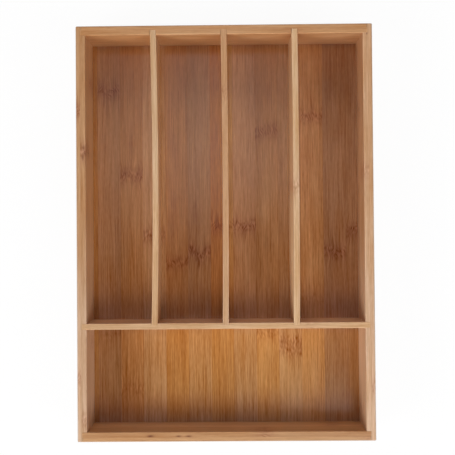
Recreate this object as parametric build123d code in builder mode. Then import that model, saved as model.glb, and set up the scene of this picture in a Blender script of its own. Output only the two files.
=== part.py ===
"""
Cutlery tray of laminated bamboo.

A shallow open box. Two long side walls run the full length. The front and back
walls are let into rabbets at their ends, behind a thin lip. The floor is a panel
of edge-glued strips, held in a groove that runs round all four walls. A cross
divider, let into the side walls, closes off a wide bay at the front. Partitions
between the divider and the back wall split the rest into equal long bays. All
joints are glued, and nothing moves.

Lengths are millimetres. X runs across the tray, Y along it with the wide bay
towards -Y, and Z is up. The origin is at the middle of the outline, on the
surface that the tray stands on.
"""

import os
from math import floor

from build123d import *

os.makedirs("parts", exist_ok=True)

# Outline
tray_width = 250.0
tray_length = 350.0
tray_height = 50.0

# Boards
wall_thickness = 8.0
divider_thickness = 5.0
partition_thickness = 5.0
floor_thickness = 4.0

# Layout
wide_bay_length = 86.0
partition_count = 3
foot_reveal = 5.0

# Joints: how deep each board is let into the next, and the glue gap left round it
corner_lip = 4.0
groove_depth = 4.0
wall_dado_depth = 4.0
divider_dado_depth = 2.0
glue_gap = 0.05

# Floor strips: the full strips, and what shows of the cut ones at the two side walls
strip_width = 20.0
first_strip_showing = 4.0
least_strip_showing = 3.0

# Sanded edges
outer_easing = 1.0
inner_easing = 0.5

# Worked out from the sizes above
half_width = tray_width / 2
half_length = tray_length / 2
inner_width = tray_width - 2 * wall_thickness
inner_length = tray_length - 2 * wall_thickness
floor_top = foot_reveal + floor_thickness
board_height = tray_height - floor_top

divider_front_y = wide_bay_length - inner_length / 2
divider_rear_y = divider_front_y + divider_thickness
divider_middle_y = divider_front_y + divider_thickness / 2

bay_width = (inner_width - partition_count * partition_thickness) / (partition_count + 1)
bay_pitch = bay_width + partition_thickness
first_partition_x = bay_pitch - (inner_width + partition_thickness) / 2
partition_xs = [first_partition_x + index * bay_pitch for index in range(partition_count)]

# Outer face of each wall: local X runs along the wall, local Y up, local Z into the tray
left_face = Plane(origin=(-half_width, 0, 0), x_dir=(0, 1, 0), z_dir=(1, 0, 0))
right_face = Plane(origin=(half_width, 0, 0), x_dir=(0, -1, 0), z_dir=(-1, 0, 0))
front_face = Plane(origin=(0, -half_length, 0), x_dir=(-1, 0, 0), z_dir=(0, 1, 0))
back_face = Plane(origin=(0, half_length, 0), x_dir=(1, 0, 0), z_dir=(0, -1, 0))


def write_piece(piece, name):
    """Label a finished piece and write it under its own name."""
    piece.part.label = name
    export_step(piece.part, f"parts/{name}.step")


def standing_board(face, length, base, height, thickness):
    """Add a board seen in elevation: centred on the face, from base upwards, going inwards."""
    with BuildSketch(face) as outline:
        with Locations((0, base + height / 2)):
            Rectangle(length, height)
    extrude(outline.sketch, amount=thickness)


def cut_into(face, middle, base, width, height, depth):
    """Cut a rectangular recess into a face, going the way that the face looks away from."""
    with BuildSketch(face) as outline:
        with Locations((middle, base + height / 2)):
            Rectangle(width, height)
    extrude(outline.sketch, amount=-depth, mode=Mode.SUBTRACT)


def cut_floor_groove(inner_face, run):
    """Cut the groove that takes the edge of the floor panel."""
    cut_into(inner_face, 0, foot_reveal, run, floor_thickness + glue_gap, groove_depth)


def cut_dado(face, middle, board_thickness, depth):
    """Cut an upright slot from the floor panel to the rim, for the end of a thinner board."""
    cut_into(face, middle, floor_top, board_thickness + 2 * glue_gap, board_height, depth)


def ease_inner_rim(wall, inward):
    """Round the long top edge on the inner side of a wall."""
    inner_side = wall.faces().filter_by(inward).sort_by(inward)[-1]
    fillet(inner_side.edges().sort_by(Axis.Z)[-1], inner_easing)


# Side walls: full length, with a rabbet at each end that leaves a lip outside


def add_side_wall(wall, outer_face):
    """Shape one side wall inside its own part."""
    inward = Axis(outer_face.origin, outer_face.z_dir)
    inner_face = outer_face.offset(wall_thickness)
    standing_board(outer_face, tray_length, 0, tray_height, wall_thickness)

    rabbet_depth = wall_thickness - corner_lip
    rabbet_middle = half_length - wall_thickness / 2
    for end in (-1, 1):
        cut_into(inner_face, end * rabbet_middle, 0, wall_thickness, tray_height, rabbet_depth)

    outer_side = wall.faces().sort_by(inward)[0]
    lip_ends = wall.faces().sort_by(Axis.Y)[0].edges() + wall.faces().sort_by(Axis.Y)[-1].edges()
    fillet(outer_side.edges() + lip_ends.filter_by(Axis.X), outer_easing)
    ease_inner_rim(wall, inward)

    cut_floor_groove(inner_face, inner_length + 2 * groove_depth)
    dado_middle = outer_face.to_local_coords(Vector(0, divider_middle_y, 0)).X
    cut_dado(inner_face, dado_middle, divider_thickness, wall_dado_depth)


with BuildPart() as left_wall:
    add_side_wall(left_wall, left_face)
write_piece(left_wall, "left_wall")

with BuildPart() as right_wall:
    add_side_wall(right_wall, right_face)
write_piece(right_wall, "right_wall")


# Front and back walls: their ends sit in the rabbets of the side walls


def add_end_wall(wall, outer_face):
    """Shape what the front and back walls share."""
    inward = Axis(outer_face.origin, outer_face.z_dir)
    wall_length = tray_width - 2 * (corner_lip + glue_gap)
    standing_board(outer_face, wall_length, 0, tray_height, wall_thickness)

    outer_side = wall.faces().sort_by(inward)[0]
    fillet(outer_side.edges().filter_by(Axis.X), outer_easing)
    ease_inner_rim(wall, inward)
    cut_floor_groove(outer_face.offset(wall_thickness), wall_length)


with BuildPart() as front_wall:
    add_end_wall(front_wall, front_face)
write_piece(front_wall, "front_wall")

with BuildPart() as back_wall:
    add_end_wall(back_wall, back_face)
    for partition_x in partition_xs:
        cut_dado(back_face.offset(wall_thickness), partition_x, partition_thickness, wall_dado_depth)
write_piece(back_wall, "back_wall")


# Cross divider: stands on the floor, its ends in the side walls, slotted behind for the partitions

divider_plane = Plane(origin=(0, divider_rear_y, 0), x_dir=(-1, 0, 0), z_dir=(0, 1, 0))
divider_length = inner_width + 2 * (wall_dado_depth - glue_gap)

with BuildPart() as cross_divider:
    standing_board(divider_plane, divider_length, floor_top, board_height, -divider_thickness)
    top_side = cross_divider.faces().sort_by(Axis.Z)[-1]
    fillet(top_side.edges().filter_by(Axis.X), inner_easing)
    for partition_x in partition_xs:
        cut_dado(divider_plane, -partition_x, partition_thickness, divider_dado_depth)
write_piece(cross_divider, "cross_divider")


# Partitions: numbered from the left, from the slot in the divider to the slot in the back wall

partition_front_y = divider_rear_y - divider_dado_depth + glue_gap
partition_back_y = inner_length / 2 + wall_dado_depth - glue_gap
partition_length = partition_back_y - partition_front_y
partition_middle_y = (partition_front_y + partition_back_y) / 2

for number, partition_x in enumerate(partition_xs, start=1):
    left_side_x = partition_x - partition_thickness / 2
    side_plane = Plane(origin=(left_side_x, partition_middle_y, 0), x_dir=(0, 1, 0), z_dir=(1, 0, 0))
    with BuildPart() as partition:
        standing_board(side_plane, partition_length, floor_top, board_height, partition_thickness)
        top_side = partition.faces().sort_by(Axis.Z)[-1]
        fillet(top_side.edges().filter_by(Axis.Y), inner_easing)
    write_piece(partition, f"partition_{number}")


# Floor strips: numbered from the left, glued edge to edge, their ends and outer edges in the groove

panel_length = inner_length + 2 * (groove_depth - glue_gap)
panel_width = inner_width + 2 * (groove_depth - glue_gap)
seam_span = inner_width - first_strip_showing - least_strip_showing
seam_count = floor(seam_span / strip_width) + 1
first_seam_x = first_strip_showing - inner_width / 2
seam_xs = [first_seam_x + index * strip_width for index in range(seam_count)]
strip_edges = [-panel_width / 2] + seam_xs + [panel_width / 2]

for number, (low_x, high_x) in enumerate(zip(strip_edges, strip_edges[1:]), start=1):
    with BuildPart() as floor_strip:
        with BuildSketch(Plane.XY.offset(foot_reveal)):
            with Locations(((low_x + high_x) / 2, 0)):
                Rectangle(high_x - low_x, panel_length)
        extrude(amount=floor_thickness)
    write_piece(floor_strip, f"floor_strip_{number:02d}")

print(f"bay width {bay_width:.2f}, long bay {inner_length / 2 - divider_rear_y:.2f}")
print(f"partitions at {[round(x, 2) for x in partition_xs]}, {len(strip_edges) - 1} floor strips")
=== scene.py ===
# %% [markdown]
# A bamboo cutlery tray, looked at from straight above. The boards, their joints
# and their sizes come from the frame. This file gives them their bamboo, lays
# the three slightly bowed partitions, and sets the studio floor, the lamps and
# the camera. Every length in Blender is in metres.

import bpy
import numpy as np
from mathutils import Euler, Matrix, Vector


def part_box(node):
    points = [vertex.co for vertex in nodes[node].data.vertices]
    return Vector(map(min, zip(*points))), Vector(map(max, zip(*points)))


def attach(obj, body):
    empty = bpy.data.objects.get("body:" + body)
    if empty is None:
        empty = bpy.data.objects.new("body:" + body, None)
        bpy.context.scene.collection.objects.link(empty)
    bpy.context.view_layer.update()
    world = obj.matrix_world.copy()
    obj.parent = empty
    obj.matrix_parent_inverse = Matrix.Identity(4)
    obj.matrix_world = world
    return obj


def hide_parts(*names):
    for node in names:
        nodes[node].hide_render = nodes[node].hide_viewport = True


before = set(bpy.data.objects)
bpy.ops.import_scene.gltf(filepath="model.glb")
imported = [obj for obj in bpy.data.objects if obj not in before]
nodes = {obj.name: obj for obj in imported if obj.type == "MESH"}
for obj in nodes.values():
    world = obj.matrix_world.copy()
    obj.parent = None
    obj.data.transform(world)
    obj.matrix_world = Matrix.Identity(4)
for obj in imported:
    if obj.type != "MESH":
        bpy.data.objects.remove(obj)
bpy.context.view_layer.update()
mm = 0.001
print("boards in the frame:", len(nodes))

# %% [markdown]
# Colours are written as sRGB hex, as a paint chart gives them, but a shader works
# in linear light. One function turns the first into the second.

# %% Colours


def linear(hex_colour):
    """sRGB hex to linear red, green and blue: ((c + 0.055) / 1.055) ** 2.4, or c / 12.92 near black."""
    channels = np.array([int(hex_colour[i : i + 2], 16) for i in (1, 3, 5)]) / 255
    return np.where(channels <= 0.04045, channels / 12.92, ((channels + 0.055) / 1.055) ** 2.4)


caramel = linear("#b87a3a")
straw = linear("#cfa880")
rosy_straw = linear("#cfa785")
print("caramel in linear light:", caramel.round(3), "straw:", straw.round(3))

# %% [markdown]
# A material is a small net of nodes. One function adds a node, fills in its
# settings, and joins its inputs either to plain values or to the outputs of nodes
# that are already there. It gives back an output, ready for the next node. Most
# nodes do one step of arithmetic, and two short functions add those.

# %% Adding a node


def add(tree, kind, inputs=None, output=0, **settings):
    """Add a node of a kind. inputs maps a socket's name or number to a value or to another node's output."""
    node = tree.nodes.new(kind)
    for name, value in settings.items():
        setattr(node, name, value)
    for name, value in (inputs or {}).items():
        if isinstance(value, bpy.types.NodeSocket):
            tree.links.new(value, node.inputs[name])
        else:
            node.inputs[name].default_value = value
    return None if output is None else node.outputs[output]


def maths(tree, operation, *values):
    """One step of arithmetic. Each value is a number or another node's output."""
    return add(tree, "ShaderNodeMath", dict(enumerate(values)), operation=operation)


def vector_maths(tree, operation, *values):
    """One step of arithmetic on vectors or colours."""
    return add(tree, "ShaderNodeVectorMath", dict(enumerate(values)), operation=operation)


JOIN = "ShaderNodeCombineXYZ"
SPLIT = "ShaderNodeSeparateXYZ"

# %% [markdown]
# Bamboo is not wood: it has no rings. A culm is a tube of straight fibres, split
# into strips about 20 mm wide, pressed flat and glued edge to edge. So the pattern
# is one long bundle of fibres in each board. A noise that is stretched along the
# board draws it, and because the noise is solid, the same fibres come out as lines
# on the faces and as dots on the end grain. All patterns are drawn in millimetres,
# in a space where one axis runs along the fibres.

# %% The space that the fibres are drawn in


def board_space(tree, grain, lay=None):
    """A point in mm as a vector, and its place across the fibres, along them, and up. The point is read from
    the object's own coordinates, or from the mesh attribute lay where a board is bent."""
    if lay is None:
        place = add(tree, "ShaderNodeTexCoord", output="Object")
    else:
        place = add(tree, "ShaderNodeAttribute", output="Vector", attribute_name=lay)
    point = add(tree, "ShaderNodeVectorMath", {0: place, "Scale": 1 / mm}, operation="SCALE")
    x, y, z = (add(tree, SPLIT, {0: point}, output=axis) for axis in "XYZ")
    return point, *((x, y, z) if grain == "Y" else (y, x, z))


def swaying(tree, place, scale=1.0):
    """Soft noise that sways between -1 and 1."""
    noise = add(tree, "ShaderNodeTexNoise", {"Vector": place, "Scale": scale, "Detail": 0.0}, output="Fac")
    return maths(tree, "MULTIPLY_ADD", noise, 2.0, -1.0)


def streaks(tree, place, seed, step, wide, long):
    """Noise from -1 to 1 whose blots are about wide mm across the fibres and long mm along them. The
    board's seed and the pattern's step move it to a part of the noise that nothing else uses."""
    far = seed + step
    size = {"Scale": (1 / wide, 1 / long, 1 / wide), "Location": (far, 2 * far, 3 * far)}
    return swaying(tree, add(tree, "ShaderNodeMapping", {"Vector": place, **size}))


def weighed(tree, *pairs):
    """The sum of socket times weight over the pairs."""
    total = 0.0
    for socket, weight in pairs:
        total = maths(tree, "MULTIPLY_ADD", socket, weight, total)
    return total


# %% [markdown]
# Every 15 to 30 cm the culm has a node, the ring where a leaf grew. There the
# fibres cross over each other. On a planed strip this shows as a knuckle: a band
# of short slanting dashes, a little redder and darker, with the fibres fanning out
# above and below it. Bell curves of the distance to the knuckle do this: a narrow
# one brings in the dashes, a middling one stains the wood and pushes the fibres
# aside, and a wide one draws the rays of the fan. Reaches and pitches are in mm, and
# a slope is in mm aside for each mm along.

# %% Knuckles
dash_reach = 5.5
zone_reach = 8.0
fan_reach = 18.0
waver = 3.0
swing_pitch = 5.0
fan_slope = 0.4
dash_slope = 0.8
seed_spacing = 17.0


def bell(tree, distance, reach):
    """exp(-(distance / reach) squared)."""
    share = maths(tree, "DIVIDE", distance, reach)
    squared = maths(tree, "MULTIPLY", share, share)
    falling = maths(tree, "MULTIPLY", squared, -1.0)
    return maths(tree, "EXPONENT", falling)


def side_noise(tree, across, up, seed, pitch):
    """Noise from -1 to 1 that changes across a board, every pitch mm or so, and not along it."""
    side = add(tree, JOIN, {"X": across, "Y": seed_spacing * seed, "Z": up})
    return swaying(tree, side, 1 / pitch)


def near_knuckles(tree, along, knuckles):
    """How much of a knuckle's dashes, stain and fan there is at a point, and the lever that pushes its
    fibres aside. Each is a sum over the knuckles, given as (place, strength): of the strength times a bell
    of the distance, and for the lever that times the distance too."""
    dashes, stain, fan, lever = 0.0, 0.0, 0.0, 0.0
    for place, strength in knuckles:
        distance = maths(tree, "SUBTRACT", along, place)
        zone = bell(tree, distance, zone_reach)
        arm = maths(tree, "MULTIPLY", zone, distance)
        dashes = weighed(tree, (dashes, 1.0), (bell(tree, distance, dash_reach), strength))
        fan = weighed(tree, (fan, 1.0), (bell(tree, distance, fan_reach), strength))
        stain = weighed(tree, (stain, 1.0), (zone, strength))
        lever = weighed(tree, (lever, 1.0), (arm, strength))
    return dashes, stain, fan, lever


def leaning(tree, across, lever, lean, seed):
    """across, moved aside by the lever times a slope that swings from -lean to lean."""
    swing = side_noise(tree, across, 0.0, seed, swing_pitch)
    slope = maths(tree, "MULTIPLY", swing, 2 * lean)
    return maths(tree, "MULTIPLY_ADD", slope, lever, across)


# %% [markdown]
# Here and there a bud or an insect has left a scar in the culm, a small dark lens
# that lies along the fibres. It is drawn as a bell curve of two distances, three
# times longer than wide.

# %% Scars
scar_shape = 3


def scarred(tree, across, along, scars):
    """depth in the middle of each scar and 0 away from them all. A scar is (across, along, half its length,
    depth)."""
    total = 0.0
    for side_place, place, size, depth in scars:
        aside = maths(tree, "SUBTRACT", across, side_place)
        ahead = maths(tree, "SUBTRACT", along, place)
        spot = maths(tree, "MULTIPLY", bell(tree, aside, size / scar_shape), bell(tree, ahead, size))
        total = maths(tree, "MULTIPLY_ADD", spot, depth, total)
    return total


# %% [markdown]
# A wall is two plies of strips, face to face. The glue line between them shows on
# the rim as a fine line, 3.6 mm in from the outer face. Each ply is itself made of
# bands 20 mm high, and each band is another strip, with its own tone and its own
# knuckles. Counted down from the rim, the middle one of the three bands lies round
# 1.5 bands. The floor and the thin boards are a single ply.

# %% The plies and bands of a wall
bands_from = 51.0
band_height = 20.0
middle_band = 1.5
half_band = 0.5
glue_line = 0.3
middle_band_shift = 60


def plies(tree, across, up, glue):
    """For a wall with its glue line at glue mm from the middle of the tray: whether a point is in the outer
    ply, whether it is in the middle band of the three, and whether it is on a line of glue."""
    side = maths(tree, "ABSOLUTE", across)
    outer = maths(tree, "GREATER_THAN", side, glue)
    bands = maths(tree, "MULTIPLY_ADD", up, -1 / band_height, bands_from / band_height)
    band = maths(tree, "COMPARE", bands, middle_band, half_band)
    between_plies = maths(tree, "COMPARE", side, glue, glue_line / 2)
    to_band_edge = maths(tree, "PINGPONG", bands, half_band)
    between_bands = maths(tree, "LESS_THAN", to_band_edge, glue_line / 2 / band_height)
    on_glue = maths(tree, "MAXIMUM", between_plies, between_bands)
    return outer, band, on_glue


# %% [markdown]
# A board's edges are eased with fine paper and then handled for years, so the
# lacquer there is thin and the arris a little paler and duller. Between the strips
# of the floor it is the other way round: the seam is tight and slightly darker. A
# board is nearly a box, so the nearest edge is found by arithmetic: of a surface
# point's three distances to the sides of the box, the middle one is the distance
# to an edge. That is exact, and costs less than looking round with rays. End grain
# is where the surface looks along the fibres.

# %% Edges and end grain
facing_limit = 0.7


def rising(tree, value, start, end):
    """0 at start, 1 at end, and smooth between them."""
    limits = {"Value": value, "From Min": start, "From Max": end}
    return add(tree, "ShaderNodeMapRange", limits, interpolation_type="SMOOTHSTEP")


def edge_closeness(tree, point, node_name, reach):
    """1 on the edges of a board's box, falling to 0 at reach mm from them. The middle one of a, b and c is
    max(min(a, b), min(max(a, b), c))."""
    low, high = (np.array(corner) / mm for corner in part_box(node_name))
    offset = vector_maths(tree, "SUBTRACT", point, (low + high) / 2)
    outward = vector_maths(tree, "ABSOLUTE", offset)
    inset = vector_maths(tree, "SUBTRACT", (high - low) / 2, outward)
    a, b, c = (add(tree, SPLIT, {0: inset}, output=axis) for axis in "XYZ")
    smaller = maths(tree, "MINIMUM", a, b)
    larger = maths(tree, "MAXIMUM", a, b)
    capped = maths(tree, "MINIMUM", larger, c)
    distance = maths(tree, "MAXIMUM", smaller, capped)
    return rising(tree, distance, reach, 0.0)


def normal_part(tree, axis):
    """How much a surface looks along an axis, from -1 to 1."""
    normal = add(tree, "ShaderNodeNewGeometry", output="True Normal")
    return add(tree, SPLIT, {0: normal}, output=axis)


def on_end_grain(tree, grain):
    """1 where the surface looks along the fibres, 0 elsewhere."""
    size = maths(tree, "ABSOLUTE", normal_part(tree, grain))
    return maths(tree, "GREATER_THAN", size, facing_limit)


# %% [markdown]
# Some places have painted light or painted shade in their colour. The inner side
# of the right wall behind the divider carries painted shade, and that of the left
# wall a touch of painted light. Some faces of the thin boards are darker and redder
# with painted shade, and one is paler with painted light. The right part of the
# middle floor strip is paler and bluer in the long bays. Each function here says
# where such a place is. The colour comes and goes along the tray between two places,
# in mm.

# %% Places of painted shade and painted light
upright_limit = 0.5
shade_begins = -80.0
shade_is_full = 20.0
# Where the third partition's left face carries painted light, fading to a little painted shade at its back
# end, in mm along the tray.
painted_light_begins = 90.0
painted_light_is_full = -60.0
painted_light_at_front = 1.0
painted_light_at_back = -0.6
pale_part_blur = 3.0
pale_part_begins = -90.0
pale_part_is_full = 30.0


def on_shaded_side(tree, along, outer):
    """1 on the upright inner side of a side wall behind the divider, where painted shade goes, 0 elsewhere.
    """
    upright = maths(tree, "LESS_THAN", normal_part(tree, "Z"), upright_limit)
    inner = maths(tree, "SUBTRACT", 1.0, outer)
    inner_side = maths(tree, "MULTIPLY", upright, inner)
    behind = rising(tree, along, shade_begins, shade_is_full)
    return maths(tree, "MULTIPLY", inner_side, behind)


def facing(axis, way):
    """A function that gives 1 where a surface looks along an axis, or against it if way is -1, and 0
    elsewhere."""

    def where(tree, across, along):
        ahead = maths(tree, "MULTIPLY", normal_part(tree, axis), float(way))
        return maths(tree, "GREATER_THAN", ahead, facing_limit)

    return where


def on_painted_light_face(tree, across, along):
    """Painted light: 1 on the front end of a face that looks left, a little below 0 on its back end, which
    is a touch of painted shade, 0 on other faces.
    """
    left = facing("X", -1)(tree, across, along)
    towards_front = rising(tree, along, painted_light_begins, painted_light_is_full)
    change = painted_light_at_front - painted_light_at_back
    painted_light = maths(tree, "MULTIPLY_ADD", towards_front, change, painted_light_at_back)
    return maths(tree, "MULTIPLY", left, painted_light)


def on_right_of_middle(tree, across, along):
    """1 to the right of the middle of the tray, and less so towards the divider and in front of it."""
    right = rising(tree, across, 0.0, pale_part_blur)
    behind = rising(tree, along, pale_part_begins, pale_part_is_full)
    return maths(tree, "MULTIPLY", right, behind)


# %% [markdown]
# Near a knuckle the fibres are pushed aside, and all that follows is read in that
# bent space: four sizes of fibre, the dashes of the knuckle and the rays of its
# fan. A real fibre bundle is 0.3 mm wide, too fine to show from this far, so the
# finest is drawn 0.6 to 0.7 mm wide, in pieces 5 to 25 mm long, as they dip in
# and out of the planed surface.

# %% The pattern of a strip
# Each size starts with a step of the seed, the width and the length in mm. That of a fibre goes on with
# its weights in the tone and in the relief
fibre_sizes = [
    (0.3, 5.0, 230.0, 0.09, 0.0),
    (1.7, 1.2, 110.0, 0.15, 0.0),
    (3.1, 0.7, 25.0, 0.27, 1.0),
    (5.9, 0.6, 5.5, 0.15, 0.5),
]
dash_size = (8.2, 0.8, 3.6)
ray_size = (9.6, 1.2, 24.0)
patch_size = (12.4, 6.0, 35.0)
fan_step = 0.5
crossing_step = 4.5
waver_pitch = 9.0
mark_tone = 0.60
between_marks_tone = -0.07
ray_tone = 0.30


def strip_pattern(tree, across, along, up, seed, shift, knuckles, contrast):
    """What a strip shows at a point: how much paler it is than its body, how stained by a knuckle, its
    patches of colour, and its relief. shift moves its knuckles along it, in mm."""
    waves = side_noise(tree, across, up, seed, waver_pitch)
    wavered = weighed(tree, (along, 1.0), (waves, 2 * waver), (shift, -1.0))
    dashes, stain, fan, lever = near_knuckles(tree, wavered, knuckles)
    fanned = leaning(tree, across, lever, fan_slope, seed + fan_step)
    place = add(tree, JOIN, {"X": fanned, "Y": along, "Z": up})
    fibres = [streaks(tree, place, seed, *size[:3]) for size in fibre_sizes]
    tone = weighed(tree, *((fibre, contrast * size[3]) for fibre, size in zip(fibres, fibre_sizes)))
    relief = weighed(tree, *((fibre, size[4]) for fibre, size in zip(fibres, fibre_sizes) if size[4]))

    crossed = leaning(tree, across, lever, dash_slope, seed + crossing_step)
    dash_place = add(tree, JOIN, {"X": crossed, "Y": along, "Z": up})
    marks = maths(tree, "MULTIPLY", dashes, streaks(tree, dash_place, seed, *dash_size))
    rays = maths(tree, "MULTIPLY", fan, streaks(tree, place, seed, *ray_size))
    tone = weighed(tree, (tone, 1.0), (marks, mark_tone), (dashes, between_marks_tone), (rays, ray_tone))
    relief = weighed(tree, (relief, 1.0), (marks, 1.0))
    patch = streaks(tree, place, seed, *patch_size)
    return tone, stain, patch, relief


# %% [markdown]
# A board's body colour drifts along its length. It is given at a few places, and
# a ramp from one end of the tray to the other fills in between.

# %% Body colour
half_length = 175.0


def body_colour(tree, along, tones):
    """The colour of a board along its length, from a dictionary of places in mm and colours. The ramp's 0
    and 1 are the front and the back end of the tray."""
    share = maths(tree, "MULTIPLY_ADD", along, 0.5 / half_length, 0.5)
    body = add(tree, "ShaderNodeValToRGB", {"Fac": share})
    stops = body.node.color_ramp.elements
    stops.remove(stops[1])
    for index, (place, colour) in enumerate(sorted(tones.items())):
        position = 0.5 + 0.5 * place / half_length
        stop = stops.new(position) if index else stops[0]
        stop.position, stop.color = position, (*colour, 1.0)
    return body


# %% [markdown]
# In steamed bamboo a dark fibre is not just dimmer, it is also more orange: where
# red falls by one part, green falls by about 1.5 and blue by 2. A hue here is the
# share of red, green and blue that something takes away. Along the outer arris of
# a wall a grey painted shade darkens the rounded edge.

# %% What a wall adds to its strips
fibre_hue = np.array([1.0, 1.50, 2.15])
# The grey painted shade along a wall's outer arris: its hue, and its reach in mm.
arris_shade_hue = np.array([0.18, 0.07, -0.10])
arris_shade_reach = 1.4
glue_tone = -0.12
ply_apart = 41.0
band_apart = 67.0


def as_wall(tree, node_name, point, across, along, up, tone, worn_tone, wall):
    """The tone of a wall with its plies, bands, glue and painted shade in it, the place across the fibres,
    which jumps to another part of the noise for each strip, how far the knuckles are moved, and where the
    grey painted shade on the outer arris lies. What was added to the worn edges is taken back there."""
    outer, band, on_glue = plies(tree, across, up, wall["glue"])
    near_outside = edge_closeness(tree, point, node_name, arris_shade_reach)
    arris_shade = maths(tree, "MULTIPLY", outer, near_outside)
    shaded = on_shaded_side(tree, along, outer)
    tone = weighed(
        tree, (tone, 1.0), (outer, wall["outer"]), (band, wall["middle"]), (on_glue, glue_tone),
        (shaded, wall["shaded"]), (arris_shade, -worn_tone),
    )
    across = weighed(tree, (across, 1.0), (outer, ply_apart), (band, band_apart))
    shift = weighed(tree, (outer, wall["shift"]), (band, middle_band_shift))
    return tone, across, shift, arris_shade


# %% [markdown]
# Here the board's material comes together. The lacquer is satin: clear, with an
# index of 1.5, and a gloss that is wide and weak. It fills the fibres nearly flush,
# so the relief that is left for the bump is a few hundredths of a millimetre. It is
# duller in patches, on end grain and on worn edges.

# %% Satin-lacquered steamed bamboo
white = (1.0, 1.0, 1.0)
patch_hue = np.array([0.06, 0.14, 0.26])
knuckle_hue = np.array([0.13, 0.22, 0.19])
scar_hue = np.array([0.62, 0.76, 0.78])
end_grain_tone = -0.22
end_grain_dullness = 0.15
wear_dullness = 0.08
patch_dullness = 0.05
lacquer_ior = 1.5
fibre_relief = 0.02


def bamboo(
    node_name, tones, grain="Y", seed=0.0, knuckles=(), scars=(), contrast=0.6, roughness=0.36,
    edge=(0.9, 0.12), wall=None, lay=None, veil=None,
):
    """Steamed bamboo under satin lacquer, for one board of the frame. tones gives its colour at some places
    along it, knuckles the place and strength of each knuckle, scars their places and sizes, and edge the
    reach and the tone of its edges, all places in mm. contrast is for the fibres. wall is for a board of
    two plies: where its glue line is, how far the outer ply's knuckles are from the inner one's, and the
    tones of the outer ply, the middle band and the painted shade on the inner side. veil is a function
    that says where this board alone has another colour, painted light or shade on some boards, and the
    hue that is taken away there."""
    material = bpy.data.materials.new("satin_lacquered_bamboo_" + node_name)
    material.use_nodes = True
    tree = material.node_tree
    surface = tree.nodes["Principled BSDF"]
    point, across, along, up = board_space(tree, grain, lay)
    end_grain = on_end_grain(tree, grain)
    worn = edge_closeness(tree, point, node_name, edge[0])
    tone = weighed(tree, (end_grain, end_grain_tone), (worn, edge[1]))

    veils = []
    if scars:
        veils.append((scarred(tree, across, along, scars), scar_hue))
    if veil is not None:
        where, hue = veil
        veils.append((where(tree, across, along), hue))
    shift = 0.0
    if wall is not None:
        worn_tone = edge[1]
        tone, across, shift, arris_shade = as_wall(
            tree, node_name, point, across, along, up, tone, worn_tone, wall
        )
        veils.append((arris_shade, arris_shade_hue))
    pattern, stain, patch, relief = strip_pattern(tree, across, along, up, seed, shift, knuckles, contrast)
    if knuckles:
        veils.append((stain, knuckle_hue))

    tone = maths(tree, "ADD", tone, pattern)
    tint = vector_maths(tree, "MULTIPLY_ADD", tone, fibre_hue, white)
    tint = vector_maths(tree, "MULTIPLY_ADD", patch, patch_hue, tint)
    colour = vector_maths(tree, "MULTIPLY", tint, body_colour(tree, along, tones))
    for amount, hue in veils:
        kept = vector_maths(tree, "MULTIPLY_ADD", amount, -hue, white)
        colour = vector_maths(tree, "MULTIPLY", colour, kept)
    tree.links.new(colour, surface.inputs["Base Color"])

    dullness = weighed(
        tree, (patch, patch_dullness), (end_grain, end_grain_dullness), (worn, wear_dullness)
    )
    dullness = maths(tree, "ADD", dullness, roughness)
    tree.links.new(dullness, surface.inputs["Roughness"])
    bump = add(tree, "ShaderNodeBump", {"Height": relief, "Distance": fibre_relief * mm})
    tree.links.new(bump, surface.inputs["Normal"])
    surface.inputs["IOR"].default_value = lacquer_ior
    return material


# %% [markdown]
# A board of the frame is dressed by putting its material in place of any other.
# Its tone is given by three numbers: the shade, how pale it is, from the caramel of
# long steaming to the straw of short steaming, and how mauve.

# %% Dressing a board


def dress(node_name, material):
    """Give a board of the frame its material."""
    nodes[node_name].data.materials.clear()
    nodes[node_name].data.materials.append(material)


def tone_of(shade, paleness, mauve=0.0, pale=straw):
    """Between caramel and a pale straw by paleness, times a shade, with the blue raised by mauve."""
    return (caramel * (1 - paleness) + pale * paleness) * shade * (1, 1, 1 + mauve)


# %% [markdown]
# The floor is thirteen strips in one panel. Each came from another part of a culm,
# so each has its own shade and its own knuckles, and changes from its wide-bay end
# to its long-bay end in its own way. By its number, a strip can also have a paler
# part, other red, green and blue halfway along the long bays, and scars.

# %% The floor strips, one by one
# For each strip: its shade, paleness and mauve in the wide bay and in the long bays, and its knuckles in mm
strips = [
    ((0.95, 0.08, 0.00), (0.94, 0.00, 0.00), []),
    ((0.86, 0.16, 0.20), (0.92, 0.20, 0.05), [(127, 0.9), (-88, 0.3)]),
    ((1.07, 0.07, 0.20), (1.02, 0.12, 0.00), [(51, 0.9), (-138, 0.5)]),
    ((1.07, 0.32, 0.00), (1.05, 0.37, -0.09), [(-2, 0.9)]),
    ((1.10, 0.06, 0.02), (1.00, 0.07, 0.03), [(-26, 0.8)]),
    ((1.05, 0.23, -0.04), (0.96, 0.24, -0.03), [(-18, 1.1)]),
    ((1.05, 0.08, -0.03), (1.11, -0.05, 0.20), [(6, 0.9)]),
    ((1.02, 0.29, -0.05), (1.03, 0.26, -0.02), [(5.5, 1.0)]),
    ((1.12, 0.18, -0.12), (1.02, 0.17, -0.04), [(91, 0.8), (-88.5, 0.5)]),
    ((1.04, 0.32, -0.09), (0.96, 0.26, -0.07), [(-96, 0.65), (-105, 0.65)]),
    ((1.12, 0.18, -0.08), (1.10, 0.20, -0.06), [(102, 0.9), (-59, 0.3)]),
    ((0.88, 0.19, 0.05), (0.89, 0.23, 0.10), [(-17, 1.0)]),
    ((0.85, 0.11, 0.10), (0.85, 0.20, 0.10), [(1, 1.0)]),
]
strip_veils = {7: (on_right_of_middle, np.array([-0.02, -0.25, -0.48]))}
middle_drifts = {3: (1.03, 1.08, 1.14), 6: (0.94, 0.91, 0.86), 9: (1.06, 1.15, 1.26)}
strip_scars = {3: [(-68.7, -98.8, 1.4, 1.0)]}
print("knuckles in the floor:", sum(len(knuckles) for *_, knuckles in strips))
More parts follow.
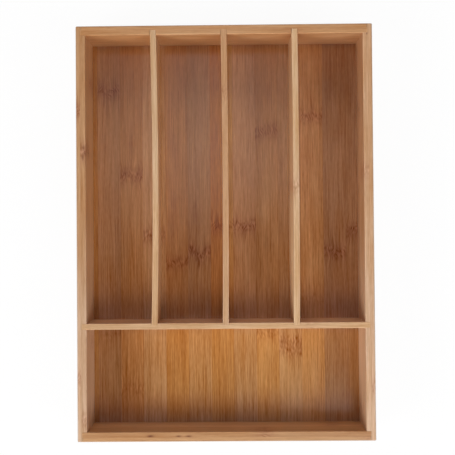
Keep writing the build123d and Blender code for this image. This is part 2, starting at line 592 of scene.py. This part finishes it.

# %% [markdown]
# All the strips are a little darker and redder towards the back wall, which is
# painted shade. More painted shade darkens them and turns them bluer beside the
# front wall, behind the divider and right beside the back wall. It thins out and
# then ends.

# %% Dressing the floor
rear_tint = np.array([1.0, 0.965, 1.07])
# Painted shade towards the back wall: how far the fibres' hue darkens and reddens the back end.
back_shade = 0.12
back_shade_tint = rear_tint * (1 - back_shade * fibre_hue)
# Tints of painted shade beside the front wall, behind the divider and beside the back wall, and thinner
# where it fades.
painted_shade_front = np.array([0.80, 0.86, 1.30])
thinner_painted_shade_front = np.array([0.97, 0.95, 1.07])
painted_shade_tint = np.array([0.87, 0.93, 1.27])
thinner_painted_shade = np.array([0.95, 0.95, 1.02])
# Places along the tray where the colour of a strip changes, in mm
beside_front_wall = -166
front_shade_is_thin = -152
front_shade_ends = -138
before_divider = -90
behind_divider = -75
rear_shade_thins = -68
rear_shade_is_thin = -52
rear_shade_ends = -38
halfway = 20
back_shade_begins = 80
back_shade_is_full = 163
beside_back_wall = 167
strip_seed_step = 3.7
floor_contrast = 0.92
floor_roughness = 0.21
seam = (0.3, -0.15)

for number, (front_tone, rear_tone, knuckles) in enumerate(strips, start=1):
    name = f"floor_strip_{number:02d}"
    front_colour = tone_of(*front_tone)
    rear_colour = tone_of(*rear_tone) * rear_tint
    back_colour = tone_of(*rear_tone) * back_shade_tint
    tones = {
        beside_front_wall: front_colour * painted_shade_front,
        front_shade_is_thin: front_colour * thinner_painted_shade_front,
        front_shade_ends: front_colour,
        before_divider: front_colour,
        behind_divider: rear_colour * painted_shade_tint,
        rear_shade_thins: rear_colour * painted_shade_tint,
        rear_shade_is_thin: rear_colour * thinner_painted_shade,
        rear_shade_ends: rear_colour,
        halfway: rear_colour * middle_drifts.get(number, 1.0),
        back_shade_begins: rear_colour,
        back_shade_is_full: back_colour,
        beside_back_wall: back_colour * painted_shade_tint,
    }
    look = bamboo(
        name, tones, seed=number * strip_seed_step, knuckles=knuckles,
        scars=strip_scars.get(number, ()), contrast=floor_contrast, roughness=floor_roughness,
        edge=seam, veil=strip_veils.get(number),
    )
    dress(name, look)
print("floor strips dressed:", len(strips))

# %% [markdown]
# The walls are paler and pinker than the floor, and more so towards the front,
# and the divider is paler towards the right. They are duller than the floor,
# because a rim is rubbed by every hand that reaches in.

# %% The walls and the divider


def wall_tone(shade, paleness):
    """As tone_of, with the pinker straw of the walls."""
    return tone_of(shade, paleness, pale=rosy_straw)


left_scars = [(-118.6, 72.7, 2.0, 0.5), (-117.9, 68.4, 2.2, 0.6), (-119.3, 64.0, 2.4, 0.6)]
# shaded in each wall is the tone of the painted shade on its inner side behind the divider: darker on the
# right wall, a touch paler on the left.
left = bamboo(
    "left_wall", {-70: wall_tone(0.93, 0.90), 20: wall_tone(0.91, 0.44)},
    seed=51, knuckles=[(70, 1.2), (-156, 0.7)], scars=left_scars, edge=(0.9, 0.04),
    wall={"glue": 121.4, "shift": 33, "outer": 0.06, "middle": 0.10, "shaded": 0.02},
)
right = bamboo(
    "right_wall", {-70: wall_tone(1.03, 1.0), 20: wall_tone(1.04, 0.69)},
    seed=62, knuckles=[(50, 0.6)], scars=[(120.6, 166.5, 1.2, 1.0)], edge=(0.9, 0.06),
    wall={"glue": 121.4, "shift": -180, "outer": 0.0, "middle": 0.05, "shaded": -0.16},
)
front = bamboo(
    "front_wall", {-100: wall_tone(0.90, 0.35), 100: wall_tone(0.86, 0.35)},
    grain="X", seed=73, knuckles=[(31, 0.7)],
    scars=[(-170.2, -63.8, 2.8, 1.1), (-170.4, -40.2, 2.0, 1.0), (-170.4, -31.7, 2.4, 1.0)],
    wall={"glue": 171.4, "shift": 90, "outer": 0.16, "middle": 0.17, "shaded": 0.0},
)
back = bamboo(
    "back_wall", {-100: wall_tone(1.03, 0.38), 100: wall_tone(1.04, 0.43)},
    grain="X", seed=84, knuckles=[(60, 0.5)],
    wall={"glue": 171.4, "shift": 90, "outer": 0.0, "middle": 0.02, "shaded": 0.0},
)
# The divider's face towards the back is darker and redder: painted shade.
divider = bamboo(
    "cross_divider", {-100: tone_of(0.98, 0.74), 100: tone_of(1.07, 0.84)},
    grain="X", seed=95, knuckles=[(70, 0.3)], veil=(facing("Y", 1), np.array([0.0, 0.10, 0.08])),
)
boards = {
    "left_wall": left, "right_wall": right, "front_wall": front, "back_wall": back,
    "cross_divider": divider,
}
for node_name, look in boards.items():
    dress(node_name, look)
print("walls and divider dressed:", len(boards))

# %% [markdown]
# The new meshes, the planks and the studio floor, are rings of points, each ring
# joined to the next by faces with four corners. One function numbers the corners.

# %% Joining rings of points


def joined_rings(ring_count, ring_size):
    """The faces between rings of points that follow one another, as rows of four point numbers."""
    ring, step = np.meshgrid(np.arange(ring_count - 1), np.arange(ring_size), indexing="ij")
    near, far = ring * ring_size, (ring + 1) * ring_size
    beside = (step + 1) % ring_size
    return np.stack([near + step, far + step, far + beside, near + beside], axis=-1).reshape(-1, 4)


# %% [markdown]
# The three partitions are thin planks, held at their ends and along their foot.
# Over time the rim of each has warped to the right, and its foot less or the other
# way, so its side shows wider or narrower halfway along. A plank is a profile
# carried along a path, and the path here is a shallow arc. The straight place of
# each point is kept with the mesh, and the fibres are drawn on that, so that they
# bend with it.

# %% A warped plank
partition_sections = 49
easing = 0.5
easing_steps = 4
foot_corners = 2


def plank_outline(half, foot, rim):
    """The end of a plank, seen from the front, in mm: square at the foot and eased at the rim."""
    turn = np.linspace(0, np.pi / 2, easing_steps + 1)
    right_rim = np.column_stack([np.cos(turn) - 1, np.sin(turn) - 1]) * easing + (half, rim)
    left_rim = right_rim[::-1] * (-1, 1)
    return np.vstack([[-half, foot], [half, foot], right_rim, left_rim])


def plank_points(outline, low, high, rim_bow, foot_bow):
    """The straight and the warped places of a plank's points, a ring for each section along it, in mm. x
    moves aside by bow (1 - t squared), with t from -1 to 1 along the plank."""
    t = np.linspace(-1, 1, partition_sections)
    height = (outline[:, 1] - low[2]) / (high[2] - low[2])
    bow = foot_bow + (rim_bow - foot_bow) * height
    straight = np.empty((len(t), len(outline), 3))
    straight[..., 0] = (low[0] + high[0]) / 2 + outline[:, 0]
    straight[..., 1] = (low[1] + high[1]) / 2 + t[:, None] * (high[1] - low[1]) / 2
    straight[..., 2] = outline[:, 1]
    warped = straight.copy()
    warped[..., 0] += bow * (1 - t[:, None] ** 2)
    return straight, warped


def warped_plank(name, node_name, rim_bow, foot_bow):
    """A plank in place of a straight board of the frame. Halfway along, its rim stands rim_bow mm and its
    foot foot_bow mm aside."""
    low, high = (np.array(corner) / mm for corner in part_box(node_name))
    outline = plank_outline((high[0] - low[0]) / 2, low[2], high[2])
    straight, warped = plank_points(outline, low, high, rim_bow, foot_bow)

    count = len(outline)
    front_end = list(range(count))
    back_end = [(partition_sections - 1) * count + index for index in reversed(front_end)]
    faces = joined_rings(partition_sections, count).tolist() + [front_end, back_end]
    mesh = bpy.data.meshes.new(name)
    mesh.from_pydata((warped.reshape(-1, 3) * mm).tolist(), [], faces)
    side = np.tile(np.arange(count), partition_sections - 1)
    rounded = (side >= foot_corners) & (side < count - 1) & (side != foot_corners + easing_steps)
    mesh.polygons.foreach_set("use_smooth", np.append(rounded, [False, False]))
    lay = mesh.attributes.new("lay", "FLOAT_VECTOR", "POINT")
    lay.data.foreach_set("vector", (straight * mm).ravel())
    mesh.update()

    plank = bpy.data.objects.new(name, mesh)
    bpy.context.scene.collection.objects.link(plank)
    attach(plank, "root")
    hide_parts(node_name)
    return plank


# %% [markdown]
# The right sides of the first two partitions are darker and redder than the rest of
# the plank, which is painted shade, and the left side of the third is paler towards
# the divider, which is painted light. The middle partition is a little mauve.

# %% Laying the partitions
# The veils of the partitions: painted shade on the right faces, painted light on the third one's left face.
shaded_face = (facing("X", 1), np.array([0.10, 0.18, 0.25]))
painted_light_face = (on_painted_light_face, np.array([-0.17, -0.26, -0.32]))
tone_places = (-60, 0, 100)
first_seed = 100
seed_step = 7
# For each: how far its rim and its foot stand aside, its tones at those places, its knuckles, and the veil
# over one face
partitions = [
    (1.6, 0.3, (0.98, 0.74), (1.10, 0.98), (1.02, 0.90), [], shaded_face),
    (0.8, 0.0, (0.97, 0.73, 0.08), (1.02, 0.61, 0.08), (1.0, 0.53, 0.10), [(118, 0.5)], shaded_face),
    (0.5, -1.0, (1.07, 0.90), (1.08, 0.95), (1.10, 1.0), [(39, 0.7)], painted_light_face),
]
for number, (rim_bow, foot_bow, *tones, knuckles, veil) in enumerate(partitions, start=1):
    node_name = f"partition_{number}"
    plank = warped_plank("warped_" + node_name, node_name, rim_bow, foot_bow)
    colours = {place: tone_of(*tone) for place, tone in zip(tone_places, tones)}
    seed = first_seed + seed_step * number
    look = bamboo(node_name, colours, seed=seed, knuckles=knuckles, lay="lay", veil=veil)
    plank.data.materials.append(look)
    print(plank.name, "faces:", len(plank.data.polygons))

# %% [markdown]
# The tray lies on a white studio floor, whose far rim sweeps up into a round wall,
# so that there is no horizon from any side. It is a profile turned about the
# upright axis: flat, then a quarter of a circle, then upright.

# %% Floor of the studio
floor_radius = 2.6
sweep_radius = 0.8
backdrop_top = 3.0
turn_steps = 96
sweep_steps = 12

sweep = np.linspace(0, np.pi / 2, sweep_steps + 1)
radius = np.append(floor_radius + sweep_radius * np.sin(sweep), floor_radius + sweep_radius)
height = np.append(sweep_radius * (1 - np.cos(sweep)), backdrop_top)
angle = np.arange(turn_steps) * 2 * np.pi / turn_steps
points = np.empty((len(radius), turn_steps, 3))
points[..., 0] = radius[:, None] * np.cos(angle)
points[..., 1] = radius[:, None] * np.sin(angle)
points[..., 2] = height[:, None]

quads = joined_rings(len(radius), turn_steps)
sheet = bpy.data.meshes.new("studio_floor")
sheet.from_pydata(points.reshape(-1, 3).tolist(), [], [list(range(turn_steps))] + quads.tolist())
sheet.polygons.foreach_set("use_smooth", np.arange(len(quads) + 1) > 0)
studio_floor = bpy.data.objects.new("studio_floor", sheet)
bpy.context.scene.collection.objects.link(studio_floor)
print("studio floor faces:", len(sheet.polygons))

# %% [markdown]
# To the camera and to reflections the paper glows nearly white, and the little
# light that it also gathers shows the tray's soft shadow. To all other light it is
# plain matt paper, so it brightens the tray no more than paper would.

# %% Matt white paper
paper_glow = 0.947
shadow_depth = 0.055
paper_white = 0.8

paper = bpy.data.materials.new("matt_white_paper")
paper.use_nodes = True
tree = paper.node_tree
tree.nodes.clear()
bounce = add(tree, "ShaderNodeBsdfDiffuse", {"Color": (paper_white, paper_white, paper_white, 1.0)})
glow = add(tree, "ShaderNodeEmission", {"Color": (1.0, 1.0, 1.0, 1.0), "Strength": paper_glow})
shade = add(tree, "ShaderNodeBsdfDiffuse", {"Color": (shadow_depth, shadow_depth, shadow_depth, 1.0)})
seen = add(tree, "ShaderNodeAddShader", {0: glow, 1: shade})
ray_kinds = ("Is Camera Ray", "Is Glossy Ray", "Is Transmission Ray")
to_camera, to_gloss, to_glass = (add(tree, "ShaderNodeLightPath", output=kind) for kind in ray_kinds)
reflected = maths(tree, "MAXIMUM", to_gloss, to_glass)
direct = maths(tree, "MAXIMUM", to_camera, reflected)
both = add(tree, "ShaderNodeMixShader", {0: direct, 1: bounce, 2: seen})
add(tree, "ShaderNodeOutputMaterial", {"Surface": both}, output=None)
sheet.materials.append(paper)

# %% [markdown]
# Six soft boxes stand round the tray. Most of the light comes from the front, low
# enough to leave the foot of the front wall in shade, and a little from behind. A
# small one overhead is there for its reflection, the faint bloom on the lacquer in
# the middle of the floor. Each is given as a share of the light that makes a white
# card on the rim just white, so colours render as they are written. The power of a
# lamp follows from its share: what falls on the card is P sin(elevation) / (pi
# distance) squared.

# %% Lamps
aim = Vector((0.0, 0.0, 0.03))


def softbox(name, azimuth, elevation, width, height, distance, share):
    """An area lamp that faces the tray. Azimuth 0 is in front of the wide bay and grows to the right."""
    a, e = np.radians(azimuth), np.radians(elevation)
    away = Vector((np.sin(a) * np.cos(e), -np.cos(a) * np.cos(e), np.sin(e)))
    lamp = bpy.data.lights.new(name, "AREA")
    lamp.shape = "RECTANGLE"
    lamp.size = width
    lamp.size_y = height
    lamp.energy = share * (np.pi * distance) ** 2 / np.sin(e)
    holder = bpy.data.objects.new(name, lamp)
    holder.location = aim + away * distance
    holder.rotation_euler = away.to_track_quat("Z", "Y").to_euler()
    bpy.context.scene.collection.objects.link(holder)
    print(f"{name}: {lamp.energy:.1f} W")


# For each: azimuth and elevation in degrees, width, height and distance in metres, and its share
softboxes = {
    "front_left_softbox": (-60, 33, 1.0, 0.9, 1.6, 0.37),
    "front_right_softbox": (62, 38, 1.0, 0.8, 1.6, 0.245),
    "low_front_softbox": (0, 21, 1.2, 0.6, 1.6, 0.085),
    "high_front_softbox": (33, 60, 0.8, 0.6, 1.6, 0.109),
    "back_softbox": (180, 29, 1.2, 0.7, 1.6, 0.122),
    "overhead_softbox": (193.0, 78.8, 0.48, 0.44, 1.5, 0.051),
}
for name, box in softboxes.items():
    softbox(name, *box)

# %% [markdown]
# Only the lamps and the paper give light, and beyond them the studio is black. The
# picture is shown as plain sRGB, with no film look, so that white stays white.

# %% Black surroundings
world = bpy.data.worlds.new("studio")
world.use_nodes = True
world.node_tree.nodes["Background"].inputs["Color"].default_value = (0.0, 0.0, 0.0, 1.0)
bpy.context.scene.world = world
bpy.context.scene.view_settings.view_transform = "Standard"
print("view transform:", bpy.context.scene.view_settings.view_transform)

# %% [markdown]
# The camera looks straight down from three quarters of a metre, so near that the
# inner faces of the walls show all round. How wide they show gives its distance
# and place, and the size of the tray in the picture gives the lens. The rims aren't
# quite square to the frame, which gives its small tilt, and the picture is cut a
# little to one side of the lens, which is the shift.

# %% Camera
frame_pixels = 455
focal_pixels = 863
pixels_aside = 6
sensor_width = 36.0
camera_place = (5.6 * mm, -7.7 * mm, 774.4 * mm)
camera_tilt = (0.0161, 0.0119, -0.0079)

camera_data = bpy.data.cameras.new("camera")
camera_data.sensor_width = sensor_width
camera_data.lens = focal_pixels / frame_pixels * sensor_width
camera_data.shift_x = pixels_aside / frame_pixels
camera = bpy.data.objects.new("camera", camera_data)
camera.location = camera_place
camera.rotation_euler = Euler(camera_tilt)
bpy.context.scene.collection.objects.link(camera)
bpy.context.scene.camera = camera
print(f"lens: {camera_data.lens:.1f} mm")
